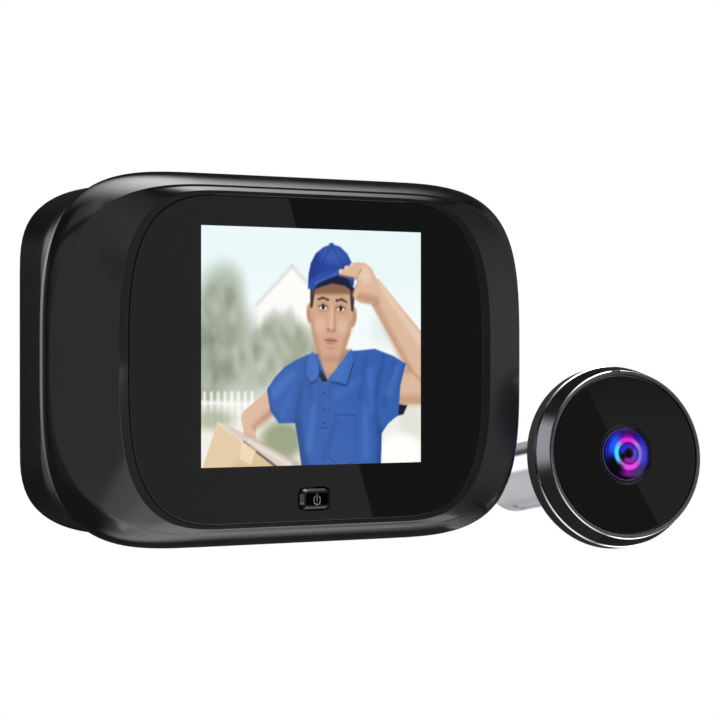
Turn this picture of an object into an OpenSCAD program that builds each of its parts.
// Peephole door camera: an indoor monitor on its door bracket, and an outdoor camera on its tube.
// The door's inner face is the plane y = 0, and the door lies on the +Y side of it.
// The monitor faces -Y. Depths inside the monitor are counted from the front of its glass.

/* [Screen] */
// Width of the lit picture
view_w = 57.6; // [52:0.2:64]
// Height of the lit picture
view_h = 43.2; // [39:0.2:48]
// Glass beyond the picture on the left and on the right
margin_side = 17.5; // [14:0.1:22]
// Glass above the picture
margin_top = 5.45; // [4.5:0.05:8]
// Thickness of the cover glass
window_t = 1; // [0.7:0.1:1.6]
// Length along the top that a corner of the glass takes up
window_corner = 25; // [16:0.5:28]
// Thickness of the tape behind the glass
glue_t = 0.15; // [0.1:0.05:0.4]
// Border of the display cell beyond the picture at the sides
lcd_border_side = 5.8; // [4:0.1:8]
// Border of the display cell beyond the picture above and below
lcd_border_end = 3.4; // [2.4:0.1:4.2]
// Thickness of the display cell
lcd_t = 1.1; // [0.8:0.1:1.6]
// Thickness of the backlight
backlight_t = 1.2; // [0.8:0.1:2]
// Thickness of the foam tape round the display
tape_t = 0.3; // [0.2:0.05:0.6]
// Width of the display ribbon
flex_w = 18; // [12:0.5:22]

/* [Front shell] */
// Flat ring beside the glass at the sides
ring_side = 2.4; // [1.6:0.1:4]
// Flat ring above and below the glass
ring_top = 0.85; // [0.5:0.05:1.6]
// Width of the sloping flank at the sides
flank_w = 12.65; // [9:0.05:16]
// Height of the bevel above and below the ring
bevel_h = 1.05; // [0.6:0.05:2]
// How far the flank falls back at the sides
flank_drop = 3.9; // [2.6:0.1:4.4]
// How far the bevel falls back above and below
bevel_drop = 0.7; // [0.4:0.1:1.8]
// Rounded edge beyond the flank at the sides
edge_side = 0.85; // [0.4:0.05:1.2]
// Rounded edge beyond the bevel above and below
edge_top = 2.25; // [1.4:0.05:3]
// Depth of the widest line of the shell
rim_depth = 4.9; // [4.6:0.1:5.6]
// Depth of the joint between bezel and rear cover
parting_depth = 6.4; // [6.1:0.1:7.2]
// Wall thickness of bezel and rear cover
wall = 1.6; // [1.2:0.1:2]
// Thickness of the bezel's plate behind the glass
plate_t = 1.2; // [1:0.1:1.6]

/* [Rear block] */
// How far the block is set in from the rim at the sides
block_in_side = 6.1; // [5:0.1:8]
// How far the block is set in from the rim above and below
block_in_top = 2; // [1.5:0.1:3]
// Length along the top that a corner of the block takes up
block_corner_w = 34; // [24:0.5:40]
// Length along the side that a corner of the block takes up
block_corner_h = 16.7; // [12:0.1:24]
// Depth where the flare behind the rim meets the block
flare_depth = 12.4; // [11:0.1:13.5]
// Rounding of the block's back edge
back_round = 0.6; // [0.4:0.1:1.4]

/* [Power button] */
// Width of the button's hole in the glass
button_w = 8.5; // [7:0.1:11]
// Height of the button's hole in the glass
button_h = 4.4; // [4:0.1:5.4]
// Corner radius of the button's hole
button_r = 1.8; // [1:0.1:1.9]
// From the button's middle to the lower edge of the glass
button_edge = 4.05; // [3.6:0.05:6]
// How far the cap stands out of the glass
button_proud = 0.8; // [0.5:0.1:1.2]
// Gap all round the cap
button_gap = 0.3; // [0.2:0.05:0.5]
// Travel of the button
button_travel = 0.5; // [0.3:0.05:0.6]
// Side of the switch under the button
switch_w = 4.4; // [3.6:0.1:4.8]
// Height of the switch's body
switch_h = 1.5; // [1.2:0.1:1.6]
// Radius of the switch's plunger
plunger_r = 1; // [0.7:0.1:1.3]

/* [Batteries] */
// Diameter of a cell
cell_d = 10.5; // [9.5:0.1:10.5]
// Length of a cell with its nub
cell_l = 44.5; // [43:0.1:45.5]
// Number of cells
cell_count = 3; // [2:1:3]
// Length of a fitted spring
spring_l = 3.4; // [2.6:0.1:4]
// Thickness of a contact plate
contact_t = 0.5; // [0.3:0.1:0.8]
// Thickness of the battery door
door_t = 1.2; // [1:0.1:1.8]

/* [Main board] */
// Thickness of the board
board_t = 1.6; // [1:0.2:2]
// Board beyond the display on the right
board_beyond = 11.4; // [10:0.1:13]
// Gap between display and board
board_gap = 2.05; // [2:0.05:2.4]

/* [Bracket and bolt] */
// Sheet thickness of the bracket
bracket_t = 1.2; // [0.8:0.1:1.6]
// Width of the bracket
bracket_w = 24; // [22:0.5:24.5]
// Thickness of the adhesive pads
pad_t = 0.8; // [0.5:0.1:1.5]
// Gap between bracket and monitor
hang_gap = 0.4; // [0.3:0.05:0.8]
// Lift that takes the monitor off the hooks
lift_travel = 4; // [3.4:0.1:5]
// Height of a hook's upturned lip
hook_lip = 3; // [2:0.1:3.2]
// Width of a hook
hook_w = 5; // [4:0.1:6]
// Radius of the bolt's thread
bolt_r = 5.8; // [5.4:0.05:6]
// Radius of the bolt's flange
bolt_flange_r = 9; // [8:0.1:9.6]
// Thickness of the bolt's flange
bolt_flange_t = 1.6; // [1.2:0.1:1.8]
// Thread length on the door's side
bolt_l = 16; // [12:0.5:24]
// Radius of the cable's way through the bolt
bolt_way_r = 4.2; // [3.6:0.1:4.4]

/* [Outdoor camera] */
// Radius of the rear ring
base_r = 18.15; // [17.6:0.05:20]
// Thickness of the rear ring
base_t = 3.6; // [3:0.1:3.8]
// Width of the groove between the rings
groove_w = 0.4; // [0.3:0.05:0.6]
// Depth of the groove between the rings
groove_in = 0.7; // [0.5:0.05:0.9]
// Radius of the front ring at its back
housing_r = 18; // [17.5:0.05:18.1]
// Height of the front ring
housing_t = 3.6; // [3.4:0.05:5]
// How much narrower the front ring is at its front
housing_taper = 1.1; // [0.4:0.05:1.2]
// Height of the lip round the glass
lip_t = 0.33; // [0.25:0.01:0.6]
// Width of the lip round the glass
lip_w = 0.85; // [0.8:0.05:1.8]
// How deep the face lies below the lip
face_in = 0.1; // [0.05:0.05:0.6]
// Thickness of the face glass
face_t = 1; // [0.8:0.05:1.2]
// Radius of the lens dome
dome_r = 5.5; // [4.6:0.1:6]
// Height of the lens dome
dome_h = 1; // [0.8:0.05:1.35]
// Outside radius of the tube
tube_r = 7; // [6.8:0.05:8]
// Inside radius of the tube
tube_way_r = 6.05; // [6.02:0.01:6.2]
// Length of the tube behind the rear ring
tube_l = 42; // [34:0.2:60]
// Length of the keyway
key_l = 13; // [5:0.5:20]
// Distance of the keyway from the tube's end
key_end = 4.4; // [2:0.2:8]
// Width of the keyway
key_w = 2.4; // [1.5:0.1:4]

/* [Placing of the outdoor camera] */
// Distance to the right from the monitor's side
away = 27.4; // [22:0.1:80]
// Distance of the rear ring's back behind the monitor's glass
behind = 5.1; // [0:0.1:20]
// Distance below the monitor's middle
below = 19.7; // [0:0.1:40]
// Turn towards the monitor, in degrees
toe_in = 22; // [0:0.5:40]
// Upward tilt, in degrees
tilt = 7; // [0:0.5:15]

/* [Hidden] */
$fn = 64;
// Points on each quarter of a shell outline
steps = 20;
// Overlap that makes a cut go right through
eps = 0.02;
// Clearance of a piece that is fitted once
fit = 0.1;
// Shape of the corners, from 2 for an ellipse up towards a square
window_n = 3.1;
rim_n = 3.5;
block_n = 3.1;
// How much shorter the rim's corners are than the flank's
rim_tighter = 2;
// Half of the straight stretch at the middle of a side
side_flat = 0.3;
// How sharply the front falls back towards the sides
fall = 8;
// Front ring plane behind the glass
ring_depth = 0.1;

// Screen and button heights
button_flange_h = button_h + 0.5;
button_flange_w = button_w + 1;
button_flange_t = 0.8;
display_gap = 0.35;
margin_bottom = lcd_border_end + display_gap + button_flange_h / 2 + button_edge;
window_w = view_w + 2 * margin_side;
window_h = view_h + margin_top + margin_bottom;
view_z = (margin_bottom - margin_top) / 2;
button_z = button_edge - window_h / 2;
lcd_w = view_w + 2 * lcd_border_side;
lcd_h = view_h + 2 * lcd_border_end;
view_gap = 0.4;

// Depths through the monitor
plate_depth = window_t + glue_t;
tape_depth = plate_depth + plate_t;
lcd_depth = tape_depth + tape_t;
backlight_depth = lcd_depth + lcd_t;
lcd_back = backlight_depth + backlight_t;
board_depth = lcd_back + board_gap;
board_back = board_depth + board_t;
bay_floor_t = 0.8;
bay_depth = lcd_back + display_gap;
cell_play = 0.2;
cell_depth = bay_depth + bay_floor_t + cell_play;
door_depth = cell_depth + cell_d + cell_play;
shell_depth = door_depth + door_t;
back_wall = shell_depth - wall;
door_seat = door_depth - fit;

// Places along Y
rear_y = -(pad_t + bracket_t + hang_gap);
front_y = rear_y - shell_depth;
plate_y = -pad_t;

// Outlines: half width, half height, corner width, corner height, corner shape
window_o = [window_w / 2, window_h / 2, window_corner, window_h / 2 - side_flat, window_n];
ring_o = grown(window_o, ring_side, ring_top);
crease_o = [ring_o[0] + flank_w, ring_o[1] + bevel_h, ring_o[2] + flank_w, ring_o[1] + bevel_h - side_flat, window_n];
rim_o = [crease_o[0] + edge_side, crease_o[1] + edge_top, crease_o[2] + edge_side - rim_tighter,
    crease_o[1] + edge_top - side_flat, rim_n];
shoulder_o = between(crease_o, rim_o, 0.6);
// Narrow step between the bevel and the crease, in one plane with the flank at the sides
strip_side = 0.6;
strip_top = 0.4;
strip_fall = 0.1;
bevel_o = grown(crease_o, -strip_side, -strip_top);
bevel_side_depth = flank_drop - strip_side * (flank_drop - ring_depth) / flank_w;
joint_o = grown(rim_o, -0.65, -0.6);
block_o = [rim_o[0] - block_in_side, rim_o[1] - block_in_top, block_corner_w, block_corner_h, block_n];
// Draft of the block towards its back
draft = 0.1;
tail_o = grown(block_o, -draft, -draft / 4);

// Hollow of the shells
cavity_front_o = grown(ring_o, 1.7, -1.2);
cavity_o = grown(joint_o, -wall, -wall);
cavity_flare_o = between(cavity_o, grown(block_o, -wall, -wall), 0.75);
cavity_back_o = grown(tail_o, -wall, -wall);
cavity_mid = (tape_depth + parting_depth) / 2;
lip_o = grown(cavity_o, -fit, -fit);
lip_reach = 1.1;
lip_thick = 0.8;
lip_root = 0.5;

bezel_outer = [
    [ring_o, ring_depth, ring_depth],
    [bevel_o, bevel_side_depth, bevel_drop - strip_fall],
    [crease_o, flank_drop, bevel_drop],
    [shoulder_o, flank_drop + 0.3, bevel_drop + 1.2],
    [rim_o, rim_depth, rim_depth],
    [joint_o, parting_depth, parting_depth]];
bezel_inner = [
    [cavity_front_o, tape_depth, tape_depth],
    [between(cavity_front_o, cavity_o, 0.65), cavity_mid, cavity_mid],
    [cavity_o, parting_depth - lip_reach - fit, parting_depth - lip_reach - fit],
    [cavity_o, parting_depth + eps, parting_depth + eps]];
cover_outer = [
    [grown(joint_o, -0.1, -0.1), parting_depth, parting_depth],
    flare(0.2),
    flare(0.4),
    flare(0.6),
    flare(0.8),
    flare(1),
    [tail_o, shell_depth - back_round, shell_depth - back_round],
    [grown(tail_o, -0.3 * back_round, -0.3 * back_round), shell_depth - 0.3 * back_round, shell_depth - 0.3 * back_round],
    [grown(tail_o, -back_round, -back_round), shell_depth, shell_depth]];
cover_inner = [
    [cavity_o, parting_depth - eps, parting_depth - eps],
    [cavity_flare_o, parting_depth + 3, parting_depth + 3],
    [grown(block_o, -wall, -wall), flare_depth, flare_depth],
    [cavity_back_o, back_wall, back_wall]];

// Pocket in the rear cover for the bolt's head, with room for the lift
pocket_r = bolt_flange_r + 2.5;
pocket_wall = 1.2;
pocket_drop = lift_travel + 1;
pocket_deep = bolt_flange_t + 1.9;
pocket_floor_t = 1.3;
pocket_floor = shell_depth - pocket_deep;
plug_w = 10;
plug_h = 5.4;
plug_z = -(pocket_r + pocket_drop - plug_h / 2 - 1.3);

// Hooks and their slots
hook_x = 7.5;
slot_play = 0.4;
slot_h = bracket_t + lift_travel + 0.3;
hook_top = pocket_r + pocket_wall + 1.8 + slot_h;
hook_bottom = -(pocket_r + pocket_drop + pocket_wall + 2.3);
hook_reach = hang_gap + wall + 0.25 + bracket_t;
bracket_margin = 4;
bracket_top = hook_top + hook_lip + bracket_margin;
bracket_bottom = hook_bottom - bracket_t - bracket_margin;
hook_window = hook_lip + 1.4;

// Bolt
bolt_shoulder_r = bolt_r + 0.7;
bolt_relief_r = bolt_r - 0.5;
bolt_relief_l = 0.7;
running = 0.05;
washer_t = 0.6;
bolt_chamfer = 0.6;

// Battery bay
bay_wall = 1.2;
bay_gap = 0.9;
bay_right = -(pocket_r + pocket_wall + bay_gap);
bay_w = cell_count * cell_d + (cell_count + 1) * cell_play;
bay_left = bay_right - bay_w;
bay_end = (cell_l + spring_l + 2 * contact_t + 2 * fit) / 2;
cell_pitch = cell_d + cell_play;
cell_mid = cell_depth + cell_d / 2;
nub_r = 1.9;
nub_l = 0.8;
contact_w = 0.86 * cell_d;
lead_r = 0.5;
lead_in = 0.5;
lead_lap = 2.5;
lead_land = 0.05;
lead_z = bay_end - contact_t - lead_r - fit;
lead_depth = board_back + lead_r + eps;
door_lap_side = 1.5;
door_lap_hinge = 0.7;
door_lap_end = 1.7;
door_play = 0.15;
door_left = bay_left - door_lap_side;
door_right = bay_right + door_lap_hinge;
door_end = bay_end + door_lap_end;
ledge = 1.2;
ledge_t = 1.4;
tongue_w = 6;
tongue_l = 1.2;
tongue_t = 0.6;
tongue_z = 20.5;
tongue_swing = 0.7;
grip_r = 5;

// Screws
case_r = 1;
case_head_r = 2;
case_head_t = 1.2;
case_l = 7;
case_inset = 2.8;
case_x = block_o[0] - draft - wall - case_inset;
case_z = 19;
post_r = 2.6;
sleeve_r = 3.2;
post_end = back_wall - 3.3;
seat_depth = post_end + 1.6;
board_screw_r = 0.8;
board_screw_l = 2.6;
board_head_r = 1.45;
board_head_t = 0.9;
lead_clear = 0.4;
board_post_r = 1.7;
board_left = bay_right + bay_wall + 0.9;
board_right = lcd_w / 2 + board_beyond;
board_top = lead_z + lead_r + lead_land;
board_bottom = button_z - button_flange_h / 2 - 0.75;
board_step = view_z - view_h / 2 - 2;
low_post_z = button_z - 0.6;
low_post_x = 0.32 * lcd_w;
board_foot = low_post_x + 4;
board_posts = [
    [board_right - 3.4, board_top - 5],
    [board_right - 3.4, view_z - view_h / 2 + 4],
    [low_post_x, low_post_z],
    [board_left + lead_lap + lead_clear + board_head_r, low_post_z]];

// Display ribbon
flex_t = 0.2;
flex_out = 2.6;
flex_in = 1;
flex_depth = lcd_depth + lcd_t / 2;
connector_w = 3.4;
connector_h = 1.1;
flex_end = board_depth - connector_h / 2;

// Switch under the button
plunger_out = 0.8;
plunger_in = button_travel + 0.25;
plunger_tip = board_depth - switch_h - plunger_out;
touch = 0.02;

// Camera: heights counted forward from the back of the rear ring
floor_h = 2;
rim_wall = 1;
housing_back = base_t + groove_w;
housing_front = housing_back + housing_t;
front_h = housing_front + lip_t;
lip_r = housing_r - housing_taper;
face_r = lip_r - lip_w;
face_front = front_h - face_in;
face_back = face_front - face_t;
web_t = 0.9;
lip_edge = 0.15;
skirt_t = 0.4;
web_back = face_back - web_t;
barrel_r = dome_r + 0.3;
hollow_r = face_r - 0.8;
dome_base = face_front - 0.1;
dome_seat = 0.2;
dome_edge_t = 0.4;
sensor_board_r = hollow_r - 0.4;
sensor_board_h = floor_h + 0.6;
sensor_board_t = 0.8;
sensor_w = 4.6;
sensor_t = 0.6;
barrel_back = sensor_board_h + sensor_board_t;
rear_lens_r = 2.6;
mid_lens_r = 3.6;
lens_gap = 0.05;
tube_flange_r = tube_r + 1.4;
tube_flange_t = 1;
key_deep = 0.35;
tube_relief_r = tube_r - 0.3;
tube_relief_l = 0.8;
chamber_r = tube_way_r + 0.25;
chamber_l = 9;
tube_end = 0.4;
key_turn = 18;
gasket_t = 0.6;
gasket_gap = 2.4;
gasket_in = tube_r + gasket_gap;
gasket_out = base_r - 1.3;
screw_inset = 2.4;
screw_ring = hollow_r - screw_inset;
camera_screw_r = 0.7;
notch_w = 2;
notch_deep = 0.5;
notch_turn = 4;

// An outline grown outwards by dx at the sides and dz above and below
function grown(o, dx, dz) = [o[0] + dx, o[1] + dz, o[2] + dx, o[3] + dz, o[4]];

// An outline part of the way from one to another
function between(a, b, share) = a + (b - a) * share;

// A point on an outline's first quarter
function corner(o, t) = [
    o[0] - o[2] + o[2] * pow(cos(t), 2 / o[4]),
    o[1] - o[3] + o[3] * pow(sin(t), 2 / o[4])];

// The whole outline, anticlockwise as seen from the front
function outline(o) =
    let (q = [for (i = [0:steps]) corner(o, 90 * i / steps)])
    concat(
        q,
        [for (i = [steps:-1:0]) [-q[i].x, q[i].y]],
        [for (i = [0:steps]) [-q[i].x, -q[i].y]],
        [for (i = [steps:-1:0]) [q[i].x, -q[i].y]]);

// A ring of points: an outline, its depth at the sides and its depth above and below
function station(s) = [for (p = outline(s[0]))
    [p.x, front_y + s[2] + (s[1] - s[2]) * pow(abs(p.x) / s[0][0], fall), p.y]];

// A station of the hollow flare behind the rim, from 0 at the joint to 1 at the block
function flare(share) =
    let (depth = parting_depth + (flare_depth - parting_depth) * pow(share, 1.8))
    [between(joint_o, block_o, share), depth, depth];

// Triangles between two rings of m points
function band(i, m) = [for (j = [0:m - 1]) let (k = (j + 1) % m)
    each [[i * m + j, i * m + k, (i + 1) * m + k], [i * m + j, (i + 1) * m + k, (i + 1) * m + j]]];

// A smooth shell through stations, from the front to the back
module loft(stations) {
    m = 4 * (steps + 1);
    last = len(stations) - 1;
    polyhedron(
        points = [for (s = stations) each station(s)],
        faces = concat(
            [[for (j = [m - 1:-1:0]) j]],
            [for (i = [0:last - 1]) each band(i, m)],
            [[for (j = [0:m - 1]) last * m + j]]));
}

// A flat shape in X and Z, from one depth in the monitor to another
module slab(from, to) {
    translate([0, front_y + to, 0]) rotate([90, 0, 0]) linear_extrude(to - from) children();
}

// A rod along the depth of the monitor
module rod(x, z, r, from, to) {
    translate([x, front_y + to, z]) rotate([90, 0, 0]) cylinder(r = r, h = to - from);
}

// A block in the monitor, from its corners in X, depth and Z
module block(low, high) {
    translate([low.x, front_y + low.y, low.z]) cube(high - low);
}

// A flat rectangle with round corners
module round_rect(w, h, r) {
    square([w - 2 * r, h], center = true);
    square([w, h - 2 * r], center = true);
    for (x = [-1, 1], z = [-1, 1]) translate([x * (w / 2 - r), z * (h / 2 - r)]) circle(r);
}

// The button's hole, grown all round
module button_hole(grow) {
    translate([0, button_z]) round_rect(button_w + 2 * grow, button_h + 2 * grow, button_r + grow);
}

// The lit picture's area, grown all round
module view_area(grow) {
    translate([0, view_z]) square([view_w + 2 * grow, view_h + 2 * grow], center = true);
}

// The pocket's outline along the depth of the monitor
module pocket(r, from, to) {
    rod(0, 0, r, from, to);
    rod(0, -pocket_drop, r, from, to);
    block([-r, from, -pocket_drop], [r, to, 0]);
}

// The four places of the case screws
module at_case_screws() {
    for (x = [-case_x, case_x], z = [-case_z, case_z]) translate([x, 0, z]) children();
}

// The four places of the hooks, at the top face of each hook
module at_hooks() {
    for (x = [-hook_x, hook_x], z = [hook_bottom, hook_top]) translate([x, 0, z]) children();
}

// The places of the cells, with every second one turned over
module at_cells() {
    for (i = [0:cell_count - 1])
        translate([bay_left + cell_play + cell_d / 2 + i * cell_pitch, front_y + cell_mid, 0])
            rotate([i % 2 == 0 ? 0 : 180, 0, 0]) children();
}

// The frame of the outdoor camera: -Y points out of its face
module at_camera() {
    translate([rim_o[0] + away, front_y + behind, -below]) rotate([-tilt, 0, -toe_in]) children();
}

// A turned shape of the outdoor camera, from points of radius and height
module turned(profile) {
    at_camera() rotate([90, 0, 0]) rotate_extrude() polygon(profile);
}

// The three places of the camera's screws, as rods along its axis
module camera_rods(r, from, to) {
    at_camera() rotate([90, 0, 0]) for (a = [90, 210, 330])
        rotate(a) translate([screw_ring, 0, from]) cylinder(r = r, h = to - from);
}

// A wire wound from one radius to another, as one tube with six sides
module winding(r0, r1, wire, length, turns) {
    rings = 8 * turns;
    sides = 6;
    points = [for (i = [0:rings], k = [0:sides - 1])
        let (a = 360 * turns * i / rings, r = r0 + (r1 - r0) * i / rings, b = 360 * k / sides)
        [(r + wire * cos(b)) * cos(a), (r + wire * cos(b)) * sin(a),
            wire + (length - 2 * wire) * i / rings + wire * sin(b)]];
    polyhedron(points, concat(
        [[for (k = [0:sides - 1]) k]],
        [for (i = [0:rings - 1], k = [0:sides - 1]) let (n = (k + 1) % sides)
            each [[i * sides + k, (i + 1) * sides + n, i * sides + n],
                [i * sides + k, (i + 1) * sides + k, (i + 1) * sides + n]]],
        [[for (k = [sides - 1:-1:0]) rings * sides + k]]));
}

module front_bezel() color("#222224") difference() {
    union() {
        difference() {
            loft(bezel_outer);
            loft(bezel_inner);
        }
        at_case_screws() rod(0, 0, post_r, tape_depth - fit, post_end);
        for (p = board_posts) rod(p.x, p.y, board_post_r, tape_depth - fit, board_depth);
    }
    slab(-eps, plate_depth) polygon(outline(grown(window_o, fit, fit)));
    slab(plate_depth - eps, tape_depth + eps) view_area(view_gap);
    slab(plate_depth - eps, tape_depth + eps) button_hole(0);
    at_case_screws() rod(0, 0, case_r + fit / 2, post_end - case_l, post_end + eps);
    for (p = board_posts) rod(p.x, p.y, board_screw_r + fit / 2, tape_depth + fit, board_depth + eps);
}

module screen_window() color("#0b0b0d") difference() {
    slab(0, window_t) polygon(outline(window_o));
    slab(-eps, window_t + eps) button_hole(0);
}

module window_adhesive() color("#303030") difference() {
    slab(window_t, plate_depth) polygon(outline(grown(window_o, -view_gap, -view_gap)));
    slab(window_t - eps, plate_depth + eps) view_area(2 * view_gap);
    slab(window_t - eps, plate_depth + eps) button_hole(view_gap);
}

module lcd_tape() color("#202020") difference() {
    slab(tape_depth, lcd_depth) view_area(lcd_border_end - view_gap);
    slab(tape_depth - eps, lcd_depth + eps) view_area(2 * view_gap);
}

module lcd_panel() color("#3c4a5c")
    slab(lcd_depth, backlight_depth) translate([0, view_z]) square([lcd_w, lcd_h], center = true);

module lcd_backlight() color("#c8ccd0")
    slab(backlight_depth, lcd_back) translate([0, view_z]) square([lcd_w, lcd_h], center = true);

module lcd_flex() color("#b5722a") {
    bend = lcd_w / 2 + flex_out;
    low = view_z - flex_w / 2;
    high = view_z + flex_w / 2;
    block([lcd_w / 2, flex_depth, low], [bend + flex_t, flex_depth + flex_t, high]);
    block([bend, flex_depth, low], [bend + flex_t, flex_end + flex_t, high]);
    block([bend, flex_end, low], [bend + flex_in, flex_end + flex_t, high]);
}

module flex_connector() color("#e8e4da") {
    start = lcd_w / 2 + flex_out + flex_in;
    block([start, board_depth - connector_h, view_z - flex_w / 2 - 1],
        [start + connector_w, board_depth, view_z + flex_w / 2 + 1]);
}

module power_button() color("#161618") {
    slab(-button_proud, tape_depth + 2 * fit) button_hole(-button_gap);
    slab(tape_depth + fit, tape_depth + fit + button_flange_t)
        translate([0, button_z]) square([button_flange_w, button_flange_h], center = true);
    rod(0, button_z, plunger_r + 0.3, tape_depth + fit, plunger_tip - touch);
}

module tact_switch() color("#4a4a4c") difference() {
    slab(board_depth - switch_h, board_depth)
        translate([0, button_z]) square(switch_w, center = true);
    rod(0, button_z, plunger_r + running, board_depth - switch_h - eps,
        board_depth - switch_h + plunger_in + button_travel + fit);
}

module switch_plunger() color("#c9b27a")
    rod(0, button_z, plunger_r, plunger_tip, board_depth - switch_h + plunger_in);

module main_board() color("#1f5a3a") difference() {
    union() {
        block([board_left, board_depth, board_step], [board_right, board_back, board_top]);
        block([board_left, board_depth, board_bottom], [board_foot, board_back, board_step + eps]);
    }
    for (p = board_posts) rod(p.x, p.y, board_screw_r + fit, board_depth - eps, board_back + eps);
}

module board_chips() color("#2a2a2c") {
    // Left and lower edge, width and height as shares of the board, and thickness as a share of its own
    chips = [[0.33, 0.5, 0.21, 0.27, 0.75], [0.62, 0.58, 0.14, 0.13, 0.6], [0.68, 0.3, 0.09, 0.09, 0.9],
        [0.4, 0.22, 0.11, 0.11, 0.6]];
    w = board_right - board_left;
    h = board_top - board_step;
    for (c = chips)
        block([board_left + c[0] * w, board_back, board_step + c[1] * h],
            [board_left + (c[0] + c[2]) * w, board_back + c[4] * board_t, board_step + (c[1] + c[3]) * h]);
}

module camera_socket() color("#ece8dc") {
    socket_w = plug_w - 0.6;
    socket_h = plug_h - 0.6;
    socket_wall = 0.8;
    socket_end = pocket_floor - pocket_floor_t - 2 * fit;
    pins = 4;
    pin = 0.5;
    difference() {
        slab(board_back, socket_end) translate([0, plug_z]) square([socket_w, socket_h], center = true);
        slab(board_back + socket_wall, socket_end + eps)
            translate([0, plug_z]) square([socket_w - 2 * socket_wall, socket_h - 2 * socket_wall], center = true);
    }
    for (i = [0:pins - 1])
        slab(board_back + socket_wall / 2, socket_end - socket_wall)
            translate([(i - (pins - 1) / 2) * socket_w / 5, plug_z]) square(pin, center = true);
}

module board_screws() color("#b8b8bc") for (p = board_posts) {
    rod(p.x, p.y, board_head_r, board_back, board_back + board_head_t);
    rod(p.x, p.y, board_screw_r, board_depth - board_screw_l, board_back + eps);
}

module case_screws() color("#a8a8ac") at_case_screws() difference() {
    union() {
        rod(0, 0, case_head_r, seat_depth, seat_depth + case_head_t);
        rod(0, 0, case_r, post_end - case_l + fit, seat_depth + eps);
    }
    // Cross recess
    for (turn = [0, 90])
        translate([0, front_y + seat_depth + case_head_t, 0]) rotate([0, turn, 0])
            cube([0.5, 1.2, 2.2], center = true);
}

module rear_cover() color("#1e1e20") difference() {
    union() {
        difference() {
            loft(cover_outer);
            loft(cover_inner);
        }
        difference() {
            union() {
                slab(parting_depth - lip_reach, parting_depth + lip_root) polygon(outline(lip_o));
                slab(parting_depth, parting_depth + lip_root) polygon(outline(grown(cavity_o, 2 * fit, 2 * fit)));
            }
            slab(parting_depth - lip_reach - eps, parting_depth + lip_root + eps)
                polygon(outline(grown(lip_o, -lip_thick, -lip_thick)));
        }
        block([bay_left - bay_wall, bay_depth, -bay_end - bay_wall],
            [bay_right + bay_wall, back_wall + eps, bay_end + bay_wall]);
        block([door_left - ledge, door_seat - ledge_t, -door_end - ledge],
            [door_right + ledge, back_wall + eps, door_end + ledge]);
        pocket(pocket_r + pocket_wall, pocket_floor - pocket_floor_t, back_wall + eps);
        at_case_screws() rod(0, 0, sleeve_r, post_end + fit, back_wall + eps);
    }
    block([bay_left, bay_depth + bay_floor_t, -bay_end], [bay_right, shell_depth, bay_end]);
    block([door_left - door_play, door_seat, -door_end - door_play],
        [door_right + door_play, shell_depth + eps, door_end + door_play]);
    for (z = [-tongue_z, tongue_z])
        block([door_right - tongue_swing, door_seat - ledge_t, z - tongue_w / 2 - door_play],
            [door_right + tongue_l + 2 * door_play, door_depth + tongue_t + door_play, z + tongue_w / 2 + door_play]);
    pocket(pocket_r, pocket_floor, shell_depth + eps);
    slab(pocket_floor - pocket_floor_t - eps, pocket_floor + eps)
        translate([0, plug_z]) square([plug_w, plug_h], center = true);
    at_hooks()
        block([-hook_w / 2 - slot_play, back_wall - eps, fit - slot_h],
            [hook_w / 2 + slot_play, shell_depth + eps, fit]);
    at_case_screws() {
        rod(0, 0, case_head_r + 3 * fit, seat_depth, shell_depth + eps);
        rod(0, 0, case_r + fit, post_end, seat_depth + eps);
    }
    for (z = [-lead_z, lead_z])
        translate([bay_right - eps, front_y + lead_depth, z]) rotate([0, 90, 0])
            cylinder(r = lead_r + fit, h = bay_wall + 2 * eps);
}

module battery_door() color("#1c1c1e") difference() {
    union() {
        block([door_left, door_depth, -door_end], [door_right, shell_depth, door_end]);
        for (z = [-tongue_z, tongue_z])
            block([door_right - eps, door_depth, z - tongue_w / 2],
                [door_right + tongue_l, door_depth + tongue_t, z + tongue_w / 2]);
    }
    // Finger notch at the free edge
    rod(door_left, 0, grip_r, shell_depth - door_t / 2, shell_depth + eps);
}

module battery_cells() color("#2f6fb0") at_cells() {
    bottom = -bay_end + contact_t + spring_l + fit;
    translate([0, 0, bottom]) cylinder(d = cell_d, h = cell_l - nub_l);
    translate([0, 0, bottom + cell_l - nub_l - eps]) cylinder(r = nub_r, h = nub_l + eps);
}

module battery_springs() color("#c4c4c8") at_cells()
    translate([0, 0, -bay_end + contact_t]) winding(0.36 * cell_d, 0.2 * cell_d, 0.3, spring_l, 4);

module battery_contacts() color("#d0cec6") {
    // One plate for a lone cell end, and one for each pair of ends in series
    for (side = [-1, 1], i = [(side < 0 ? 0 : -1):2:cell_count - 1]) {
        first = max(i, 0);
        final = min(i + 1, cell_count - 1);
        x = bay_left + cell_play + cell_d / 2;
        z = side < 0 ? -bay_end : bay_end - contact_t;
        block([x + first * cell_pitch - contact_w / 2, cell_mid - contact_w / 2, z],
            [x + final * cell_pitch + contact_w / 2, cell_mid + contact_w / 2, z + contact_t]);
    }
}

module battery_leads() color("#a02020") for (z = [-lead_z, lead_z])
    translate([bay_right - lead_in, front_y + lead_depth, z]) rotate([0, 90, 0])
        cylinder(r = lead_r, h = board_left - bay_right + lead_in + lead_lap);

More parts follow.
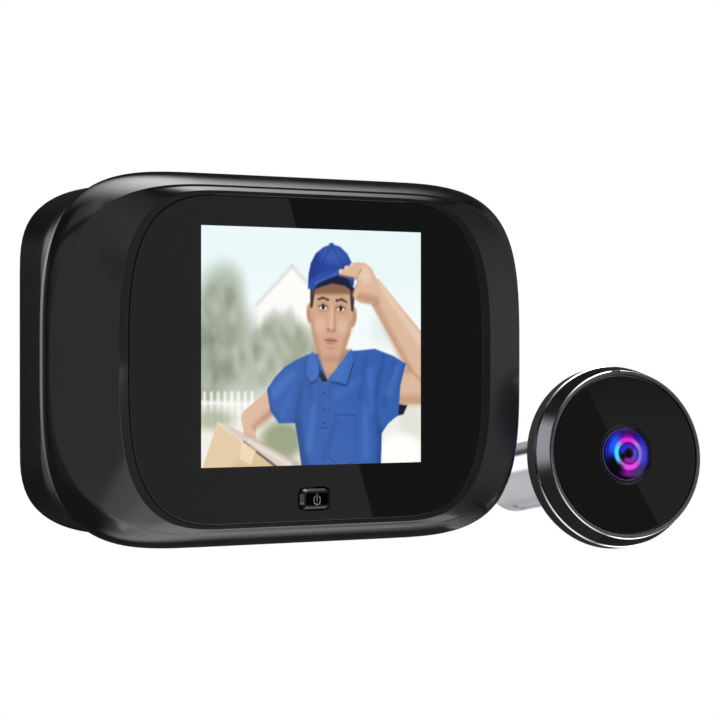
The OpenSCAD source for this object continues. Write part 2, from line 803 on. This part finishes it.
module door_bracket() color("#9a9ca0") difference() {
    union() {
        translate([-bracket_w / 2, plate_y - bracket_t, bracket_bottom])
            cube([bracket_w, bracket_t, bracket_top - bracket_bottom]);
        at_hooks() {
            translate([-hook_w / 2, plate_y - bracket_t - hook_reach, -bracket_t])
                cube([hook_w, hook_reach + bracket_t / 2, bracket_t]);
            translate([-hook_w / 2, plate_y - bracket_t - hook_reach, -bracket_t])
                cube([hook_w, bracket_t, bracket_t + hook_lip]);
        }
    }
    translate([0, plate_y + eps, 0]) rotate([90, 0, 0])
        cylinder(r = bolt_shoulder_r + running, h = bracket_t + 2 * eps);
    at_hooks() translate([-hook_w / 2, plate_y - bracket_t - eps, 0])
        cube([hook_w, bracket_t + 2 * eps, hook_window]);
}

module adhesive_pads() color("#d8d4c8") {
    pad_in = 1;
    pad_h = 9;
    for (z = [bracket_top - pad_in - pad_h, bracket_bottom + pad_in])
        translate([-bracket_w / 2 + pad_in, plate_y, z]) cube([bracket_w - 2 * pad_in, pad_t, pad_h]);
}

module fixing_bolt() color("#b4b6ba") {
    under = pad_t + bracket_t + washer_t;
    slot_w = 2;
    slot_deep = 0.9;
    difference() {
        rotate([-90, 0, 0]) rotate_extrude() polygon([
            [bolt_way_r, -under - bolt_flange_t], [bolt_flange_r, -under - bolt_flange_t],
            [bolt_flange_r, -under], [bolt_shoulder_r, -under], [bolt_shoulder_r, -bolt_relief_l],
            [bolt_relief_r, -bolt_relief_l], [bolt_relief_r, 0],
            [bolt_r, 0], [bolt_r, bolt_l - bolt_chamfer], [bolt_r - bolt_chamfer, bolt_l],
            [bolt_way_r, bolt_l]]);
        translate([0, -under - bolt_flange_t, 0])
            cube([2 * bolt_flange_r + 1, 2 * slot_deep, slot_w], center = true);
    }
}

module bolt_washer() color("#6a6c70") translate([0, -pad_t - bracket_t, 0]) rotate([90, 0, 0]) difference() {
    cylinder(r = bolt_flange_r - 0.5, h = washer_t);
    translate([0, 0, -eps]) cylinder(r = bolt_shoulder_r + running, h = washer_t + 2 * eps);
}

module camera_base() color("#1a1a1c") {
    edge = 0.25;
    difference() {
        turned([
            [tube_r + fit / 2, 0], [base_r - edge, 0], [base_r, edge], [base_r, base_t - edge],
            [base_r - edge, base_t], [base_r - rim_wall, base_t], [base_r - rim_wall, floor_h],
            [tube_flange_r + fit, floor_h], [tube_flange_r + fit, floor_h - tube_flange_t],
            [tube_r + fit / 2, floor_h - tube_flange_t]]);
        turned([[gasket_in, -eps], [gasket_out, -eps], [gasket_out, gasket_t], [gasket_in, gasket_t]]);
        camera_rods(camera_screw_r + fit, -eps, base_t);
        camera_rods(2.2 * camera_screw_r + fit, -eps, gasket_t + 0.7);
    }
    difference() {
        camera_rods(2.4 * camera_screw_r, floor_h - eps, sensor_board_h);
        camera_rods(camera_screw_r + fit, 0, base_t);
    }
}

module camera_housing() color("#2a2a2d") {
    spigot_r = min(base_r - rim_wall - fit, housing_r - groove_in);
    spigot_back = floor_h + 0.4;
    difference() {
        union() {
            turned([
                [hollow_r, spigot_back], [spigot_r, spigot_back], [spigot_r, housing_back],
                [housing_r, housing_back], [lip_r, housing_front], [face_r + skirt_t, housing_front],
                [face_r + skirt_t, face_back], [barrel_r + fit, face_back], [barrel_r + fit, web_back],
                [hollow_r, web_back]]);
            camera_rods(2.4 * camera_screw_r, barrel_back, web_back + eps);
        }
        camera_rods(camera_screw_r + fit / 2, barrel_back - eps, web_back - 0.3);
    }
}

module trim_ring() color("#55565a") difference() {
    turned([
        [face_r, face_back], [face_r + skirt_t - fit / 2, face_back], [face_r + skirt_t - fit / 2, housing_front],
        [lip_r, housing_front], [lip_r, front_h - lip_edge], [lip_r - lip_edge, front_h],
        [lip_r - 3 * lip_edge, front_h], [face_r, face_front]]);
    // Notch near the top
    at_camera() rotate([0, -notch_turn, 0]) translate([-notch_w / 2, -front_h - eps, lip_r - notch_deep])
        cube([notch_w, lip_t + 2 * eps, 2 * notch_deep]);
}

module face_glass() color("#09090b")
    turned([[barrel_r + fit, face_back], [face_r - fit / 2, face_back], [face_r - fit / 2, face_front],
        [barrel_r + fit, face_front]]);

module lens_dome() color("#3a3f8c") {
    cap_r = (dome_r * dome_r + dome_h * dome_h) / (2 * dome_h);
    at_camera() rotate([90, 0, 0]) intersection() {
        translate([0, 0, dome_base + dome_h - cap_r]) sphere(cap_r);
        translate([0, 0, dome_base - dome_edge_t]) cylinder(r = dome_r, h = dome_h + 2 * dome_edge_t);
    }
}

module lens_barrel() color("#111113") {
    ledge_h = dome_base - dome_edge_t;
    mid_back = (barrel_back + ledge_h) / 2;
    pocket_h = barrel_back + sensor_t + 0.3;
    turned([
        [sensor_w * 0.75, barrel_back], [barrel_r, barrel_back], [barrel_r, dome_base + dome_seat],
        [dome_r + lens_gap, dome_base + dome_seat], [dome_r + lens_gap, ledge_h],
        [mid_lens_r + lens_gap, ledge_h], [mid_lens_r + lens_gap, mid_back],
        [rear_lens_r + lens_gap, mid_back], [rear_lens_r + lens_gap, pocket_h], [sensor_w * 0.75, pocket_h]]);
}

module lens_elements() color("#6a5acd") {
    ledge_h = dome_base - dome_edge_t;
    mid_back = (barrel_back + ledge_h) / 2;
    turned([[0, mid_back + lens_gap], [mid_lens_r, mid_back + lens_gap],
        [mid_lens_r, mid_back + 0.5], [0, mid_back + 0.7]]);
    turned([[0, mid_back - 0.5], [rear_lens_r, mid_back - 0.4], [rear_lens_r, mid_back - lens_gap],
        [0, mid_back - lens_gap]]);
}

module lens_stop() color("#050506") {
    ledge_h = dome_base - dome_edge_t;
    stop_r = 1.1;
    stop_t = 0.2;
    turned([[stop_r, ledge_h - stop_t - lens_gap], [mid_lens_r, ledge_h - stop_t - lens_gap],
        [mid_lens_r, ledge_h - lens_gap], [stop_r, ledge_h - lens_gap]]);
}

module sensor_board() color("#1f5a3a") difference() {
    turned([[0, sensor_board_h], [sensor_board_r, sensor_board_h], [sensor_board_r, barrel_back], [0, barrel_back]]);
    camera_rods(camera_screw_r + fit, floor_h, barrel_back + eps);
}

module image_sensor() color("#44506a") at_camera()
    translate([-sensor_w / 2, -barrel_back - sensor_t, -sensor_w / 2]) cube([sensor_w, sensor_t, sensor_w]);

module cable_connector() color("#ece8dc") {
    connector = [6, 1.6, 3.4];
    at_camera() translate([-connector.x / 2, -sensor_board_h, -connector.z / 2]) cube(connector);
}

module door_tube() color("#d4d6da") {
    difference() {
        turned([
            [tube_way_r, -tube_l], [tube_r - tube_end, -tube_l], [tube_r, tube_end - tube_l],
            [tube_r, -tube_relief_l], [tube_relief_r, -tube_relief_l], [tube_relief_r, 0], [tube_r, 0],
            [tube_r, floor_h - tube_flange_t], [tube_flange_r, floor_h - tube_flange_t],
            [tube_flange_r, floor_h], [chamber_r, floor_h], [chamber_r, -chamber_l],
            [tube_way_r, -chamber_l]]);
        // Keyway with round ends, under the tube
        at_camera() rotate([0, key_turn, 0]) translate([0, tube_l - key_end, -tube_r - 1]) {
            for (y = [key_w / 2 - key_l, -key_w / 2])
                translate([0, y, 0]) cylinder(d = key_w, h = 1 + key_deep);
            translate([-key_w / 2, key_w / 2 - key_l, 0]) cube([key_w, key_l - key_w, 1 + key_deep]);
        }
    }
}

module door_gasket() color("#2c2c2c")
    turned([[gasket_in + fit / 2, 0], [gasket_out - fit / 2, 0], [gasket_out - fit / 2, gasket_t],
        [gasket_in + fit / 2, gasket_t]]);

module camera_screws() color("#b8b8bc") {
    camera_rods(2.2 * camera_screw_r, gasket_t + 0.05, gasket_t + 0.7);
    camera_rods(camera_screw_r, gasket_t + 0.7 - eps, web_back - 0.4);
}

front_bezel();
screen_window();
window_adhesive();
lcd_tape();
lcd_panel();
lcd_backlight();
lcd_flex();
flex_connector();
power_button();
tact_switch();
switch_plunger();
main_board();
board_chips();
camera_socket();
board_screws();
case_screws();
rear_cover();
battery_door();
battery_cells();
battery_springs();
battery_contacts();
battery_leads();
door_bracket();
adhesive_pads();
fixing_bolt();
bolt_washer();
camera_base();
camera_housing();
trim_ring();
face_glass();
lens_dome();
lens_barrel();
lens_elements();
lens_stop();
sensor_board();
image_sensor();
cable_connector();
door_tube();
door_gasket();
camera_screws();
